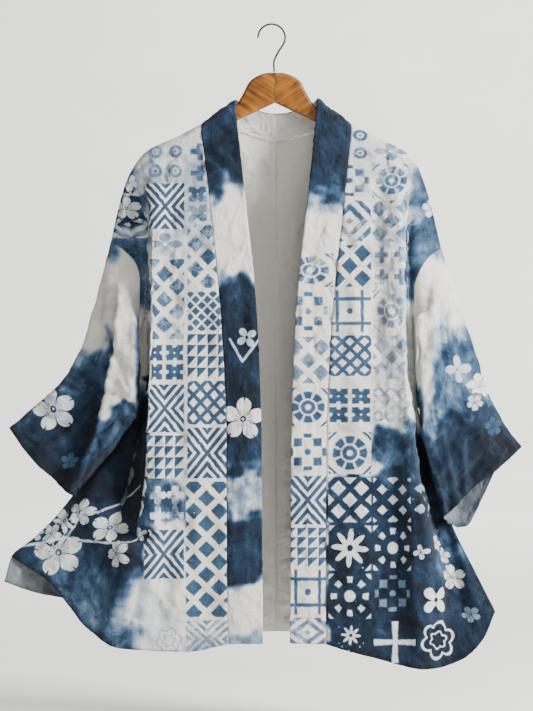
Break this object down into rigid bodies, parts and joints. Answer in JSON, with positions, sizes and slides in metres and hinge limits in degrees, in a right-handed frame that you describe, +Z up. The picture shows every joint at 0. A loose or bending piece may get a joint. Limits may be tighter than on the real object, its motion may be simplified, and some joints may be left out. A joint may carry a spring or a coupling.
{
  "type": "kimono jacket on a wooden hanger",
  "caption": "Open-front kimono jacket with a straight collar band and wide drop-shoulder sleeves, hanging on a two-arm wooden hanger with a wire hook.",
  "frame": {"origin": "inside top of the hanger hook's bend, where a rope, rod or wall hook carries it", "axes": "+Z up, the wearer's left at +X, the front faces -Y"},
  "size_m": [0.734, 0.1152, 0.9167],
  "materials": {
    "printed_cloth": "off-white linen and cotton with indigo block prints and dip-dyed shading, matt",
    "sleeve_cloth": "off-white linen and cotton dip-dyed blue towards the cuffs, matt",
    "collar_cloth": "folded double, indigo and white prints, matt",
    "hanger_wood": "clear varnish over amber wood",
    "hook_wire": "dark, smooth"
  },
  "bodies": {
    "root": {"front_right": "printed_cloth", "front_left": "printed_cloth", "back_right": "printed_cloth", "back_left": "printed_cloth", "sleeve_right": "sleeve_cloth", "sleeve_left": "sleeve_cloth", "collar": "collar_cloth", "hanger_arm_right": "hanger_wood", "hanger_arm_left": "hanger_wood", "hook": "hook_wire"}
  },
  "joints": []
}
